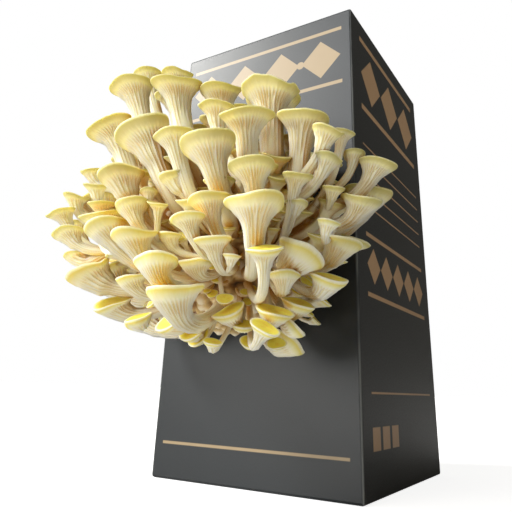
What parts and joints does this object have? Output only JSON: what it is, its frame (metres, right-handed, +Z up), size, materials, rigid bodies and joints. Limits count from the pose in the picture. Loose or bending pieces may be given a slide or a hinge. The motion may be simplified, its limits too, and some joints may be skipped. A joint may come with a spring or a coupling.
{
  "type": "oyster mushroom grow kit",
  "caption": "Tall dark carton with a window in its front, from which a wide crowded cluster of yellow-rimmed oyster mushrooms grows forward and up.",
  "frame": {"origin": "centre of the carton's bottom face, where it stands", "axes": "+Z up along the carton, -Y out of the window towards the mushrooms, +X to the right seen from the front"},
  "size_m": [0.1696, 0.2046, 0.23],
  "materials": {
    "carton": "satin",
    "substrate_block": "matte",
    "cluster_base": "matte",
    "mushroom": "matte"
  },
  "bodies": {
    "root": {"carton": "carton", "substrate_block": "substrate_block", "cluster_base": "cluster_base", "mushroom_01": "mushroom", "mushroom_02": "mushroom", "mushroom_03": "mushroom", "mushroom_04": "mushroom", "mushroom_05": "mushroom", "mushroom_06": "mushroom", "mushroom_07": "mushroom", "mushroom_08": "mushroom", "mushroom_09": "mushroom", "mushroom_10": "mushroom", "mushroom_11": "mushroom", "mushroom_12": "mushroom", "mushroom_13": "mushroom", "mushroom_14": "mushroom", "mushroom_15": "mushroom", "mushroom_16": "mushroom", "mushroom_17": "mushroom", "mushroom_18": "mushroom", "mushroom_19": "mushroom", "mushroom_20": "mushroom", "mushroom_21": "mushroom", "mushroom_22": "mushroom", "mushroom_23": "mushroom", "mushroom_24": "mushroom", "mushroom_25": "mushroom", "mushroom_26": "mushroom", "mushroom_27": "mushroom", "mushroom_28": "mushroom", "mushroom_29": "mushroom", "mushroom_30": "mushroom", "mushroom_31": "mushroom", "mushroom_32": "mushroom", "mushroom_33": "mushroom", "mushroom_34": "mushroom", "mushroom_35": "mushroom", "mushroom_36": "mushroom", "mushroom_37": "mushroom", "mushroom_38": "mushroom", "mushroom_39": "mushroom", "mushroom_40": "mushroom", "mushroom_41": "mushroom", "mushroom_42": "mushroom", "mushroom_43": "mushroom", "mushroom_44": "mushroom", "mushroom_45": "mushroom", "mushroom_46": "mushroom", "mushroom_47": "mushroom", "mushroom_48": "mushroom", "mushroom_49": "mushroom", "mushroom_50": "mushroom", "mushroom_51": "mushroom", "mushroom_52": "mushroom", "mushroom_53": "mushroom", "mushroom_54": "mushroom", "mushroom_55": "mushroom", "mushroom_56": "mushroom"}
  },
  "joints": []
}
